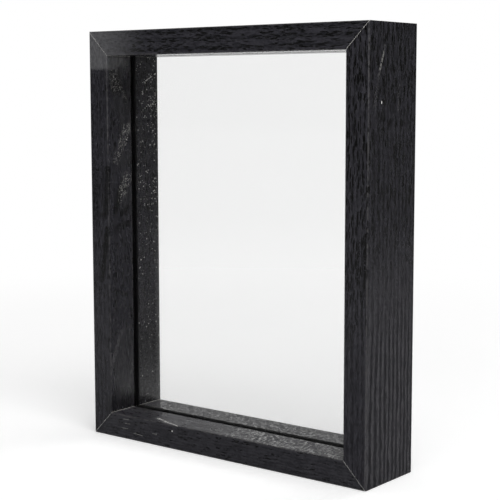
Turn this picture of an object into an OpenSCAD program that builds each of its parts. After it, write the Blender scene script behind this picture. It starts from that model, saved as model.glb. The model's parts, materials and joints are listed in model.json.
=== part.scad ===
// Open-backed display case for pressed butterflies: a deep mitred wooden frame
// with two glass panes held half way down its depth, seen through from both sides.
// Front lip, panes and spacers, then a loose retaining frame kept in by turn buttons.
// X runs across the case, Y from its front face to its back, Z up from its base.

/* [Case] */
// Overall width
case_w = 220; // [150:1:400]
// Overall height
case_h = 270; // [170:1:500]
// Overall depth, front face to back face
case_d = 51; // [40:0.5:90]

/* [Moulding] */
// Width of the moulding's face
face_w = 16; // [13:0.1:24]
// Depth of the front lip, as far as the glass
lip_d = 22.5; // [14:0.1:28]
// Width of the rabbet behind the lip
rabbet_w = 7; // [5.5:0.1:8.4]
// Radius of the eased outer arrises
arris_r = 0.8; // [0.3:0.1:1.4]
// Radius of the arrises inside the rabbet
rabbet_r = 0.5; // [0.2:0.1:0.8]

/* [Glass] */
// Thickness of one pane
pane_t = 2; // [1.6:0.1:3]
// Gap round the panes in the rabbet
pane_gap = 1; // [0.5:0.1:2]
// Ground bevel on a pane's edges
pane_bevel = 0.3; // [0.1:0.05:0.5]
// Thickness of the foam spacer between the panes
spacer_t = 2; // [1:0.1:4]
// How far the spacer's edge keeps back from the opening
spacer_back = 1; // [0:0.1:2]

/* [Retaining frame] */
// Gap between the retaining frame and the rabbet's wall
retainer_gap = 0.3; // [0.1:0.05:0.8]
// How far its back face lies below the back of the case
retainer_recess = 0.3; // [0.15:0.05:1]
// Radius of its eased arrises
retainer_r = 0.5; // [0.2:0.1:1]

/* [Turn buttons] */
// Thickness of the steel strip
button_t = 1.2; // [0.8:0.1:1.6]
// Width of the steel strip
button_w = 6; // [5.4:0.1:8]
// How far the flat of a turned button reaches over the retaining frame
button_bite = 2; // [1:0.1:2.4]
// Length of the turned-up thumb lip at its tip
thumb_len = 3; // [2:0.1:4]
// Angle of the thumb lip
thumb_angle = 28; // [10:1:45]
// Radius of the thumb lip's corners
thumb_r = 2.3; // [1:0.1:2.6]
// From a corner of the case to the nearest button on an upright
button_inset = 62; // [40:1:80]
// Gap under and over a button on its screw
button_play = 0.08; // [0.02:0.01:0.2]

/* [Screws] */
// Shank diameter
screw_d = 2.6; // [2:0.1:3.2]
// Gap round the shank in a button, on the radius
screw_gap = 0.08; // [0.03:0.01:0.1]
// Gap round the shank in the wood, on the radius
pilot_gap = 0.02; // [0.01:0.01:0.05]
// Head diameter
head_d = 5; // [4:0.1:5.6]
// Head height
head_h = 1.7; // [1.2:0.1:2]
// Height of the head's upright rim below its dome
head_rim = 0.7; // [0.4:0.1:0.9]
// Span of the cross recess
recess_span = 2.9; // [2:0.1:3.4]
// Width of the cross recess's arms
recess_w = 0.65; // [0.4:0.05:0.9]
// Depth of the cross recess
recess_d = 0.95; // [0.5:0.05:1.1]
// Length of shank in the wood
screw_grip = 11; // [6:0.5:14]
// Length of the pointed tip
screw_tip = 2.5; // [1.5:0.1:4]
// Empty depth left in the pilot hole past the tip
pilot_spare = 1; // [0.5:0.5:3]

/* [Corner nails] */
// Sheet thickness of a V-nail
nail_t = 0.7; // [0.4:0.05:1]
// Length of each leg along the members it joins
nail_leg = 4.2; // [3:0.1:6]
// Length driven into the moulding
nail_len = 12; // [7:0.5:13]
// Length driven into the retaining frame
retainer_nail_len = 8; // [5:0.5:9]
// Depth of a V-nail's edge below the wood
nail_set = 0.4; // [0.2:0.1:1]

/* [Hidden] */
$fn = 96;
past = 1; // how far a cut runs past the surface that it opens on
front_y = -case_d / 2;
back_y = case_d / 2;
ledge_y = front_y + lip_d;
stack_t = 2 * pane_t + spacer_t;
retainer_y = ledge_y + stack_t;
retainer_d = back_y - retainer_recess - retainer_y;

wall_w = face_w - rabbet_w;
retainer_w = rabbet_w - retainer_gap;
retainer_inset = wall_w + retainer_gap;
pane_w = case_w - 2 * (wall_w + pane_gap);
pane_h = case_h - 2 * (wall_w + pane_gap);
spacer_w = rabbet_w - pane_gap - spacer_back;

pivot_inset = wall_w / 2;
button_flat = pivot_inset + retainer_gap + button_bite;
bend_r = 2 * button_t;
stile_offset = case_h / 2 - button_inset;

// The four sides as turns of the bottom one about Y: angle, length, and half the span across
SIDES = [[0, case_w, case_h / 2], [90, case_h, case_w / 2],
         [180, case_w, case_h / 2], [270, case_h, case_w / 2]];
BOTTOM = 0;
LEFT = 1;
TOP = 2;
RIGHT = 3;
BEND_STEPS = 8; // flats that make up the bend of a turn button
// Turn buttons: the side each is on, and its place along that side
PIVOTS = [[BOTTOM, 0], [LEFT, stile_offset], [LEFT, -stile_offset],
          [TOP, 0], [RIGHT, stile_offset], [RIGHT, -stile_offset]];

// A square corner at the origin, filling the quadrant towards +X +Y, less its rounding
module corner_waste(r) {
    difference() {
        translate([-past, -past]) square(r + past);
        translate([r, r]) circle(r);
    }
}

// Takes the arris off a profile at p, where the wood lies towards the signs in way
module ease(p, way, r) {
    translate(p) scale([way[0], way[1]]) corner_waste(r);
}

// Section of the moulding: first axis from front to back, second from the outside inwards
module moulding_profile() {
    difference() {
        union() {
            square([lip_d, face_w]);
            square([case_d, wall_w]);
        }
        ease([0, 0], [1, 1], arris_r);
        ease([0, face_w], [1, -1], arris_r);
        ease([lip_d, face_w], [-1, -1], rabbet_r);
        ease([case_d, 0], [-1, 1], arris_r);
        ease([case_d, wall_w], [-1, -1], rabbet_r);
    }
}

// Section of a retaining strip, on the same axes
module retainer_profile() {
    difference() {
        square([retainer_d, retainer_w]);
        ease([0, retainer_w], [1, -1], retainer_r);
        ease([retainer_d, retainer_w], [-1, -1], retainer_r);
        ease([retainer_d, 0], [-1, 1], retainer_r);
    }
}

// Extrudes a section along X and cuts both ends to 45 degrees, outer edge at Z 0
module mitred_strip(length, width, depth) {
    intersection() {
        rotate([90, 0, 90]) linear_extrude(length, center = true) children();
        translate([0, depth + past, 0]) rotate([90, 0, 0]) linear_extrude(depth + 2 * past)
            polygon([[-length / 2, 0], [length / 2, 0],
                     [length / 2 - width, width], [width - length / 2, width]]);
    }
}

// Turns what is drawn at the bottom middle of the case to side i, a gap in from the outside
module on_side(i, gap = 0) {
    translate([0, 0, case_h / 2]) rotate([0, SIDES[i][0], 0])
        translate([0, 0, gap - SIDES[i][2]]) children();
}

// Repeats what is drawn at a corner, with the legs along +X and +Z, at the four corners
module at_corners(gap = 0) {
    for (side = SIDES)
        translate([0, 0, case_h / 2]) rotate([0, side[0], 0])
            translate([gap - side[1] / 2, 0, gap - side[2]]) children();
}

// One V-nail standing in the section's depth, apex on the mitre line at a distance in
module v_nail(inset, y, length) {
    translate([inset - nail_t / 2, y, inset - nail_t / 2]) {
        cube([nail_leg, length, nail_t]);
        cube([nail_t, length, nail_leg]);
    }
}

// The nails of the outer frame, or with open their slots, running out past the surface
module frame_nails(open = 0) {
    at_corners() {
        v_nail(wall_w / 2, back_y - nail_set - nail_len, nail_len + open);
        v_nail(wall_w + rabbet_w / 2, ledge_y - nail_set - nail_len, nail_len + open);
    }
}

// The nails of the retaining frame, or their slots
module retainer_nails(open = 0) {
    at_corners(retainer_inset)
        v_nail(retainer_w / 2, back_y - retainer_recess - nail_set - retainer_nail_len,
               retainer_nail_len + open);
}

// Pan-head screw along -Y, its underside at Y 0 and a cross recess in its domed head
module pan_screw() {
    shank = screw_grip + button_t + 2 * button_play;
    rise = head_h - head_rim;
    dome_r = (head_d * head_d / 4 + rise * rise) / (2 * rise);
    rotate([-90, 0, 0]) difference() {
        union() {
            intersection() {
                cylinder(r = head_d / 2, h = head_h);
                translate([0, 0, head_h - dome_r]) sphere(dome_r);
            }
            translate([0, 0, screw_tip - shank]) cylinder(r = screw_d / 2, h = shank - screw_tip);
            translate([0, 0, -shank]) cylinder(r1 = screw_d / 10, r2 = screw_d / 2, h = screw_tip);
        }
        for (turn = [0, 90]) rotate([0, 0, turn])
            translate([-recess_span / 2, -recess_w / 2, head_h - recess_d])
                cube([recess_span, recess_w, recess_d + past]);
    }
}

// Moves what is drawn at the origin to a turn button's pivot on the back face
module at_pivot(pivot) {
    on_side(pivot[0]) translate([pivot[1], back_y, pivot_inset]) children();
}

// Pilot holes for the turn buttons' screws
module screw_holes() {
    for (pivot = PIVOTS) at_pivot(pivot) rotate([90, 0, 0]) translate([0, 0, -past])
        cylinder(r = screw_d / 2 + pilot_gap, h = past + screw_grip + pilot_spare);
}

// Where an arc round the origin, starting straight down, has turned through an angle
function down_arc(r, angle) = r * [sin(angle), -cos(angle)];

// Section of the strip from the pivot to its tip: flat, then bent up into the thumb lip
module strip_section() {
    inner = [for (step = [0:BEND_STEPS]) down_arc(bend_r, thumb_angle * step / BEND_STEPS)];
    outer = [for (step = [BEND_STEPS:-1:0])
        down_arc(bend_r + button_t, thumb_angle * step / BEND_STEPS)];
    lip = thumb_len * [cos(thumb_angle), sin(thumb_angle)];
    translate([button_flat, bend_r + button_t]) polygon(concat(
        [[-button_flat, -bend_r]], inner, [inner[BEND_STEPS] + lip, outer[0] + lip],
        outer, [[-button_flat, -bend_r - button_t]]));
}

// What is nibbled off the strip's end to round the thumb lip's two corners
module lip_waste() {
    axis_y = bend_r + button_t;
    translate([button_flat, axis_y, 0]) rotate([0, 0, thumb_angle])
        translate([thumb_len, past - bend_r, 0]) rotate([90, 0, 0])
            linear_extrude(button_t + 2 * past) {
                translate([0, -button_w / 2]) scale([-1, 1]) corner_waste(thumb_r);
                translate([0, button_w / 2]) scale([-1, -1]) corner_waste(thumb_r);
            }
}

// Turn button along +X from its pivot at the origin, its tip turned up as a thumb lip
module turn_button() {
    color("gainsboro") difference() {
        union() {
            rotate([-90, 0, 0]) cylinder(r = button_w / 2, h = button_t);
            linear_extrude(button_w, center = true) strip_section();
        }
        rotate([90, 0, 0]) cylinder(r = screw_d / 2 + screw_gap, h = 3 * button_t, center = true);
        lip_waste();
    }
}

// A turn button in place, lying along its side of the frame
module button(pivot) {
    at_pivot(pivot) translate([0, button_play, 0]) turn_button();
}

// One mitred member of the outer frame, less its nail slots and screw holes
module frame_member(i) {
    color([0.13, 0.13, 0.14]) difference() {
        on_side(i) translate([0, front_y, 0])
            mitred_strip(SIDES[i][1], face_w, case_d) moulding_profile();
        frame_nails(open = past);
        screw_holes();
    }
}

// One mitred strip of the retaining frame
module retainer_member(i) {
    length = SIDES[i][1] - 2 * retainer_inset;
    color([0.17, 0.17, 0.18]) difference() {
        on_side(i, retainer_inset) translate([0, retainer_y, 0])
            mitred_strip(length, retainer_w, retainer_d) retainer_profile();
        retainer_nails(open = past);
    }
}

// Rectangle of a pane's section, standing on its first axis, with its corners cut back
module ground_section(width) {
    x = width / 2;
    b = pane_bevel;
    polygon([[b - x, 0], [x - b, 0], [x, b], [x, pane_t - b],
             [x - b, pane_t], [b - x, pane_t], [-x, pane_t - b], [-x, b]]);
}

// A pane with its front face at y, centred in the rabbet
module pane(y) {
    color([0.8, 0.88, 0.86, 0.4]) translate([0, y, case_h / 2]) intersection() {
        linear_extrude(pane_h, center = true) ground_section(pane_w);
        rotate([0, 90, 0]) linear_extrude(pane_w, center = true) ground_section(pane_h);
    }
}

// Foam strip on the panes' margin: the level ones run right across, the upright ones between
module spacer(i) {
    length = i == BOTTOM || i == TOP ? pane_w : pane_h - 2 * spacer_w;
    color([0.08, 0.08, 0.08]) on_side(i, wall_w + pane_gap)
        translate([-length / 2, ledge_y + pane_t, 0]) cube([length, spacer_t, spacer_w]);
}

module bottom_rail() {
    frame_member(BOTTOM);
}

module left_stile() {
    frame_member(LEFT);
}

module top_rail() {
    frame_member(TOP);
}

module right_stile() {
    frame_member(RIGHT);
}

module frame_v_nails() {
    color("slategray") frame_nails();
}

module front_pane() {
    pane(ledge_y);
}

module spacer_bottom() {
    spacer(BOTTOM);
}

module spacer_left() {
    spacer(LEFT);
}

module spacer_top() {
    spacer(TOP);
}

module spacer_right() {
    spacer(RIGHT);
}

module rear_pane() {
    pane(ledge_y + pane_t + spacer_t);
}

module retainer_bottom() {
    retainer_member(BOTTOM);
}

module retainer_left() {
    retainer_member(LEFT);
}

module retainer_top() {
    retainer_member(TOP);
}

module retainer_right() {
    retainer_member(RIGHT);
}

module retainer_v_nails() {
    color("slategray") retainer_nails();
}

module button_bottom() {
    button(PIVOTS[0]);
}

module button_left_lower() {
    button(PIVOTS[1]);
}

module button_left_upper() {
    button(PIVOTS[2]);
}

module button_top() {
    button(PIVOTS[3]);
}

module button_right_upper() {
    button(PIVOTS[4]);
}

module button_right_lower() {
    button(PIVOTS[5]);
}

module button_screws() {
    color("silver") for (pivot = PIVOTS)
        at_pivot(pivot) translate([0, button_t + 2 * button_play, 0]) pan_screw();
}

bottom_rail();
left_stile();
top_rail();
right_stile();
frame_v_nails();
front_pane();
spacer_bottom();
spacer_left();
spacer_top();
spacer_right();
rear_pane();
retainer_bottom();
retainer_left();
retainer_top();
retainer_right();
retainer_v_nails();
button_bottom();
button_left_lower();
button_left_upper();
button_top();
button_right_upper();
button_right_lower();
button_screws();
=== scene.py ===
import json
import math

import bmesh
import bpy
from mathutils import Euler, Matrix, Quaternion, Vector


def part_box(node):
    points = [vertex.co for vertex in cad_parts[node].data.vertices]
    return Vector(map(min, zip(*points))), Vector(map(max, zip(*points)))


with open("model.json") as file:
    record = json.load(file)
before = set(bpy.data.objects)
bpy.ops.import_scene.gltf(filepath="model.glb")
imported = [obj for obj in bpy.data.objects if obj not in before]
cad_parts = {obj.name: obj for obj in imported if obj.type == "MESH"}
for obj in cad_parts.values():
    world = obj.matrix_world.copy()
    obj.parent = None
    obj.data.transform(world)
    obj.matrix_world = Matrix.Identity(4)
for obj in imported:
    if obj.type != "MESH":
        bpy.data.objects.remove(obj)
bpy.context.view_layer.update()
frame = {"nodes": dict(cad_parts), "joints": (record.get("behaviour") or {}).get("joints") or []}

# The whole case: a deep frame of black-stained ash, open at the front and the back, with two panes of glass
# half way down its depth. It stands on its bottom rail, with the middle of its base at the origin.
CASE_LOW, CASE_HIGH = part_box("bottom_rail")[0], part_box("top_rail")[1]
CASE_W = CASE_HIGH.x - CASE_LOW.x
CASE_H = CASE_HIGH.z - CASE_LOW.z
FRONT_Y, BACK_Y = CASE_LOW.y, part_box("bottom_rail")[1].y

# The camera stands to the front right of the case, a little below the top of it, and looks slightly down.
# Its place was worked out from the photograph's vanishing lines and the case's own corners.
CAMERA_PLACE = Vector((0.51497, -0.64593, 0.22963))
CAMERA_TURN = math.radians(38.299)
CAMERA_DOWN = math.radians(6.825)
CAMERA_ROLL = math.radians(-0.078)
LENS_MM = 94.335
SENSOR_MM = 36.0

camera_data = bpy.data.cameras.new("Camera")
camera_data.lens = LENS_MM
camera_data.sensor_width = SENSOR_MM
camera_data.clip_start = 0.01
camera_data.clip_end = 60.0
camera = bpy.data.objects.new("Camera", camera_data)
bpy.context.scene.collection.objects.link(camera)
camera.location = CAMERA_PLACE
camera.rotation_mode = "QUATERNION"
aim = Euler((math.pi / 2 - CAMERA_DOWN, 0.0, CAMERA_TURN)).to_quaternion()
camera.rotation_quaternion = aim @ Quaternion((0.0, 0.0, 1.0), CAMERA_ROLL)
bpy.context.scene.camera = camera
bpy.context.scene.view_settings.view_transform = "Standard"

# The studio: a white sweep behind the case, a dim room in front of it, and large soft lamps above. The lamps
# are at a plain level, at which a grey card shows as the grey that it is.
AMBIENT = 0.42
ROOM_GLOSS, SWEEP_GLOSS = 0.05, 0.62
SWEEP_WAY = (-0.62, 0.78, 0.0)
SWEEP_EDGE, SWEEP_FULL = 0.5, 0.95
WHITE = (1.0, 1.0, 1.0, 1.0)


def add_node(tree, kind, inputs=None, **settings):
    """A new shader node with its settings, and its inputs either set or joined to another node's output."""
    made = tree.nodes.new(kind)
    for name, value in settings.items():
        setattr(made, name, value)
    for name, value in (inputs or {}).items():
        socket = made.inputs[name]
        if isinstance(value, bpy.types.NodeSocket):
            tree.links.new(value, socket)
        else:
            socket.default_value = value
    return made


def add_math(tree, operation, *values, clamp=False):
    """The result of a Math node, whose inputs are numbers or other nodes' outputs."""
    made = add_node(tree, "ShaderNodeMath", dict(enumerate(values)), operation=operation, use_clamp=clamp)
    return made.outputs[0]


def add_vector(tree, operation, *values, result=0):
    """A result of a Vector Math node, whose inputs are vectors or other nodes' outputs."""
    made = add_node(tree, "ShaderNodeVectorMath", dict(enumerate(values)), operation=operation)
    return made.outputs[result]


def add_length(tree, vector):
    """How long a vector is."""
    return add_vector(tree, "LENGTH", vector, result="Value")


def add_ramp(tree, value, low, high, start=0.0, end=1.0):
    """Turns a value smoothly from start to end as it goes from low to high."""
    inputs = {"Value": value, "From Min": low, "From Max": high, "To Min": start, "To Max": end}
    made = add_node(tree, "ShaderNodeMapRange", inputs, interpolation_type="SMOOTHSTEP")
    return made.outputs["Result"]


def add_blend(tree, factor, first, second):
    """A number between two."""
    return add_node(tree, "ShaderNodeMix", {"Factor": factor, "A": first, "B": second}).outputs["Result"]


def new_group(name, inputs, outputs):
    """An empty shader node group with named number and vector sockets, and its two end nodes."""
    tree = bpy.data.node_groups.new(name, "ShaderNodeTree")
    kinds = {float: "NodeSocketFloat", Vector: "NodeSocketVector"}
    for socket, value in inputs.items():
        made = tree.interface.new_socket(socket, in_out="INPUT", socket_type=kinds[type(value)])
        made.default_value = value
    for socket in outputs:
        tree.interface.new_socket(socket, in_out="OUTPUT", socket_type="NodeSocketFloat")
    return tree, tree.nodes.new("NodeGroupInput").outputs, tree.nodes.new("NodeGroupOutput")


def fill_group(tree, result, outputs):
    """Joins a group's outputs to the values that its nodes give."""
    for name, value in outputs.items():
        tree.links.new(value, result.inputs[name])


def add_group(tree, group, inputs):
    """Places a node group in a material, and returns its outputs."""
    return add_node(tree, "ShaderNodeGroup", inputs, node_tree=group).outputs


def white_rays(tree):
    """1 for the rays that show the backdrop as it is, from the camera or through glass, and 1 for those that
    show it in a gloss, straight or through glass."""
    path = add_node(tree, "ShaderNodeLightPath").outputs
    bounced = add_math(tree, "ADD", path["Diffuse Depth"], path["Glossy Depth"], clamp=True)
    straight = add_math(tree, "MAXIMUM", path["Is Camera Ray"], path["Is Transmission Ray"])
    straight = add_math(tree, "MULTIPLY", straight, add_math(tree, "SUBTRACT", 1.0, bounced))
    mirrored = add_math(tree, "MINIMUM", path["Is Transmission Ray"], path["Glossy Depth"])
    mirrored = add_math(tree, "MAXIMUM", path["Is Glossy Ray"], mirrored)
    return straight, add_math(tree, "MULTIPLY", mirrored, add_math(tree, "SUBTRACT", 1.0, straight))


# How bright the studio is in a gloss, by direction: the white sweep on one side, and the dim room elsewhere
studio_gloss, given, result = new_group("Studio_Gloss", {"Direction": Vector()}, ["Level"])
tree = studio_gloss
direction = add_vector(tree, "NORMALIZE", given["Direction"])
towards = add_vector(tree, "DOT_PRODUCT", direction, SWEEP_WAY, result="Value")
fill_group(tree, result, {"Level": add_ramp(tree, towards, SWEEP_EDGE, SWEEP_FULL, ROOM_GLOSS, SWEEP_GLOSS)})

world = bpy.data.worlds.new("Studio")
bpy.context.scene.world = world
world.use_nodes = True
tree = world.node_tree
tree.nodes.clear()
seen, glossy = white_rays(tree)
way = add_node(tree, "ShaderNodeTexCoord").outputs["Generated"]
level = add_blend(tree, glossy, AMBIENT, add_group(tree, studio_gloss, {"Direction": way})["Level"])
level = add_blend(tree, seen, level, 1.0)
sky = add_node(tree, "ShaderNodeBackground", {"Color": WHITE, "Strength": level}).outputs["Background"]
add_node(tree, "ShaderNodeOutputWorld", {"Surface": sky})


def add_lamp(name, kind, place, target, power):
    """A lamp that stands at a place and shines towards a target."""
    lamp_data = bpy.data.lights.new(name, kind)
    lamp_data.energy = power
    lamp = bpy.data.objects.new(name, lamp_data)
    bpy.context.scene.collection.objects.link(lamp)
    lamp.location = place
    lamp.rotation_mode = "QUATERNION"
    lamp.rotation_quaternion = (Vector(target) - Vector(place)).to_track_quat("-Z", "Y")
    return lamp_data


# Soft lamps: where each stands, its size and its power
SOFT_LAMPS = {
    "Key": ((0.9, -0.5, 1.5), 0.9, 12.0),
    "Fill": ((0.5, -1.9, 1.0), 1.7, 15.0),
    "Back": ((0.3, 1.3, 1.2), 1.0, 5.0),
}
CASE_MIDDLE = (0.0, 0.0, CASE_H / 2)
for name, (place, size, power) in SOFT_LAMPS.items():
    lamp_data = add_lamp(name, "AREA", place, CASE_MIDDLE, power)
    lamp_data.shape = "SQUARE"
    lamp_data.size = size

# A narrow beam from behind, which catches the wall inside the top left corner
BEAM_PLACE, BEAM_TARGET = (0.740, 0.850, 0.280), (-0.094, -0.016, 0.267)
BEAM_POWER = 0.5
beam_data = add_lamp("Wall_Glint", "SPOT", BEAM_PLACE, BEAM_TARGET, BEAM_POWER)
beam_data.spot_size = math.radians(2.0)
beam_data.spot_blend = 0.2
beam_data.shadow_soft_size = 0.01

# The floor that the case stands on: white card, which keeps the soft shadow and fades into the sweep. In the
# glass and the lacquer it shows dim near the case, and as the studio round it further away.
FLOOR_SIZE = 12.0
FLOOR_DROP = 0.0002
FADE_FROM, FADE_TO = 0.25, 0.9
FLOOR_GLOW = 0.27
CARD_DARK, CARD_LIGHT = 0.84, 0.88
CARD_TOOTH_SCALE = 900.0
GLOSS_FRONT_LEFT, GLOSS_FRONT, GLOSS_BACK = 0.34, 0.09, 0.15
GLOSS_LEFT_X = -0.25
GLOSS_NEAR, GLOSS_FAR = 0.4, 1.8
FLOOR_LIFT = 2.0

floor_mesh = bpy.data.meshes.new("floor")
shape = bmesh.new()
bmesh.ops.create_grid(shape, x_segments=1, y_segments=1, size=FLOOR_SIZE / 2)
shape.to_mesh(floor_mesh)
shape.free()
floor = bpy.data.objects.new("floor", floor_mesh)
floor.location.z = -FLOOR_DROP
bpy.context.scene.collection.objects.link(floor)


def new_material(name):
    """A material without nodes, and its tree."""
    made = bpy.data.materials.new(name)
    made.use_nodes = True
    made.node_tree.nodes.clear()
    return made, made.node_tree


def add_glow(tree, strength):
    """A white glow."""
    return add_node(tree, "ShaderNodeEmission", {"Color": WHITE, "Strength": strength}).outputs["Emission"]


card, tree = new_material("floor_card")
seen, glossy = white_rays(tree)
place = add_node(tree, "ShaderNodeNewGeometry").outputs["Position"]
away = add_length(tree, place)
tooth = add_node(tree, "ShaderNodeTexNoise", {"Vector": place, "Scale": CARD_TOOTH_SCALE}).outputs["Fac"]
shade = add_ramp(tree, tooth, 0.2, 0.8, CARD_DARK, CARD_LIGHT)
tint = add_node(tree, "ShaderNodeCombineColor", {"Red": shade, "Green": shade, "Blue": shade})
lit = add_node(tree, "ShaderNodeBsdfDiffuse", {"Color": tint.outputs["Color"]}).outputs["BSDF"]
glow = add_glow(tree, add_math(tree, "MULTIPLY", seen, FLOOR_GLOW))
lit = add_node(tree, "ShaderNodeAddShader", {0: lit, 1: glow}).outputs["Shader"]
faded = add_math(tree, "MULTIPLY", add_ramp(tree, away, FADE_FROM, FADE_TO), seen)
shown = add_node(tree, "ShaderNodeMixShader", {0: faded, 1: lit, 2: add_glow(tree, 1.0)}).outputs["Shader"]

x, y, z = add_node(tree, "ShaderNodeSeparateXYZ", {0: place}).outputs
front_gloss = add_ramp(tree, x, GLOSS_LEFT_X, 0.0, GLOSS_FRONT_LEFT, GLOSS_FRONT)
near_gloss = add_ramp(tree, y, FRONT_Y, BACK_Y, front_gloss, GLOSS_BACK)
room_gloss = add_group(tree, studio_gloss, {"Direction": place})["Level"]
room_gloss = add_math(tree, "MULTIPLY", room_gloss, FLOOR_LIFT)
gloss = add_blend(tree, add_ramp(tree, away, GLOSS_NEAR, GLOSS_FAR), near_gloss, room_gloss)
gloss = add_math(tree, "MAXIMUM", gloss, room_gloss)
both = add_node(tree, "ShaderNodeMixShader", {0: glossy, 1: shown, 2: add_glow(tree, gloss)})
add_node(tree, "ShaderNodeOutputMaterial", {"Surface": both.outputs["Shader"]})
floor_mesh.materials.append(card)

# The four members of the frame: solid ash, an open-pored wood, moulded with a rabbet behind its front lip,
# mitred, and stained black under a thin satin lacquer. The pores stay open, as short dark dashes in rows
# where each year's growth starts, and the stain has rubbed thin along the arrises, which also carry a painted
# highlight in the same pale colour.
FACE_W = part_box("bottom_rail")[1].z
LIP_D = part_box("front_pane")[0].y - FRONT_Y
WALL_W = 0.009
CASE_D = BACK_Y - FRONT_Y
SIDE_X = CASE_HIGH.x
WALL_X = FACE_W - SIDE_X
FRAME_ARRISES = [(0.0, 0.0), (FACE_W, 0.0), (FACE_W, LIP_D), (WALL_W, CASE_D), (0.0, CASE_D)]
FRAME_OUTSIDE = (CASE_W / 2, 0.0, CASE_H)

STAIN = (0.0076, 0.0073, 0.0104, 1.0)
THIN_STAIN = (0.0320, 0.0310, 0.0376, 1.0)
# The pale of rubbed arrises, which is partly wear and partly a painted highlight
RUBBED_STAIN_AND_HIGHLIGHT = (0.052, 0.050, 0.052, 1.0)
SMOOTH_STAIN = (0.0190, 0.0186, 0.0215, 1.0)
# Near black, for darker patches and for painted shade on the inner walls
DEEP_STAIN_AND_SHADE = (0.0100, 0.0098, 0.0118, 1.0)
OPEN_PORE = (0.0005, 0.0005, 0.0005, 1.0)
# The pale of a painted highlight on the summer wood's ridges
LATEWOOD_GLINT = (0.068, 0.066, 0.072, 1.0)
# Pale torn fibre, also painted as the glint of planed grain catching the light
TORN_FIBRE_GLINT = (0.31, 0.31, 0.30, 1.0)
BARE_JOINT = (0.80, 0.78, 0.74, 1.0)
SCUFFED = (0.062, 0.060, 0.064, 1.0)
SPECKLED = (0.200, 0.197, 0.187, 1.0)
LINT = (0.75, 0.74, 0.72, 1.0)
DUST = (0.62, 0.61, 0.59, 1.0)
DUST_SPECK = (0.56, 0.55, 0.53, 1.0)
# The pale of the painted highlight at the top left corner
CORNER_HIGHLIGHT = (0.090, 0.090, 0.094, 1.0)
# Near black, painted as the shade deep in the groove
PAINTED_GROOVE_SHADE = (0.0008, 0.0008, 0.0008, 1.0)

# The figure of the wood. A scale is per metre, twice across the log and once along its fibre. A pore's size
# is about that of its cell, across and along.
WAVE_SCALE, WAVE_SIZE = (110.0, 110.0, 42.0), (0.0022, 0.0022, 0.0)
WANDER_SCALE = (14.0, 14.0, 4.0)
STREAK_SCALE = (820.0, 820.0, 130.0)
RING_RAGGEDNESS = 0.0024
CROWD_SCALE = (190.0, 190.0, 26.0)
LOOSE_SCALE = (300.0, 300.0, 50.0)
MOTTLE_SCALE = (1100.0, 1100.0, 600.0)
PLANING_SCALE = (660.0, 340.0, 900.0)
TEARING_SCALE = (130.0, 90.0, 110.0)
LARGE_PORE, SMALL_PORE, PORE_BREAK = (0.0012, 0.0052), (0.0009, 0.0034), (0.0004, 0.0023)
PORE_NARROWING, PORE_STRETCH = 1.35, 0.9
PORE_DEPTH, STREAK_DEPTH, LATEWOOD_DEPTH = -0.4, 0.04, 0.04


def add_mix(tree, factor, first, second):
    """A colour between two, which are colours or other nodes' outputs."""
    made = add_node(tree, "ShaderNodeMix", {0: factor, 6: first, 7: second}, data_type="RGBA")
    return made.outputs[2]


def add_noise(tree, vector, scale, detail=2.0):
    """Smooth noise from 0 to 1, on a vector scaled by its own factor along each axis."""
    inputs = {"Vector": add_vector(tree, "MULTIPLY", vector, scale), "Scale": 1.0, "Detail": detail}
    return add_node(tree, "ShaderNodeTexNoise", inputs).outputs["Fac"]


def add_scaled(tree, vector, factor):
    """A vector times a number."""
    inputs = {0: vector, "Scale": factor}
    return add_node(tree, "ShaderNodeVectorMath", inputs, operation="SCALE").outputs[0]


def combine(tree, operation, values):
    """Several values taken together by one operation, such as the least or the greatest of them."""
    combined = values[0]
    for value in values[1:]:
        combined = add_math(tree, operation, combined, value)
    return combined


def add_pores(tree, vector, across, along, reach, share):
    """Dashes in cells of one size, wider from front to back than across. reach is how much of its cell a dash
    fills, and share how many cells have one."""
    cells = add_vector(tree, "MULTIPLY", vector, (PORE_NARROWING / across, 1 / across, PORE_STRETCH / along))
    made = add_node(tree, "ShaderNodeTexVoronoi", {"Vector": cells, "Scale": 1.0}).outputs
    drawn = add_node(tree, "ShaderNodeSeparateColor", {"Color": made["Color"]}).outputs["Red"]
    kept = add_math(tree, "LESS_THAN", drawn, share)
    dash = add_ramp(tree, made["Distance"], reach, add_math(tree, "MULTIPLY", reach, 0.85))
    return add_math(tree, "MULTIPLY", dash, kept)


# Input: the point in the log's own frame, metres, with its fibre along Z and its heart on the Z axis
ash_grain, given, result = new_group(
    "Ash_Grain",
    {"Vector": Vector(), "Ring Width": 0.0036, "Wander": 0.006, "Openness": 1.0, "Coarseness": 1.0,
     "Tooth": 0.0},
    ["Latewood", "Pores", "Fibre", "Torn", "Height"])
tree = ash_grain
waves = add_vector(tree, "MULTIPLY", given["Vector"], WAVE_SCALE)
waves = add_node(tree, "ShaderNodeTexNoise", {"Vector": waves, "Scale": 1.0, "Detail": 2.0}).outputs["Color"]
waves = add_vector(tree, "MULTIPLY", add_vector(tree, "SUBTRACT", waves, (0.5, 0.5, 0.5)), WAVE_SIZE)
point = add_vector(tree, "ADD", given["Vector"], waves)
radius = add_length(tree, add_vector(tree, "MULTIPLY", point, (1.0, 1.0, 0.0)))
slow = add_math(tree, "SUBTRACT", add_noise(tree, point, WANDER_SCALE), 0.5)
bend = add_math(tree, "MULTIPLY_ADD", slow, given["Wander"], radius)
streaks = add_noise(tree, point, STREAK_SCALE, 3.0)
bend = add_math(tree, "MULTIPLY_ADD", add_math(tree, "SUBTRACT", streaks, 0.5), RING_RAGGEDNESS, bend)
year = add_math(tree, "FRACT", add_math(tree, "DIVIDE", bend, given["Ring Width"]))
latewood = add_math(tree, "MULTIPLY", add_ramp(tree, year, 0.3, 0.6), add_ramp(tree, year, 1.0, 0.9))

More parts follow.
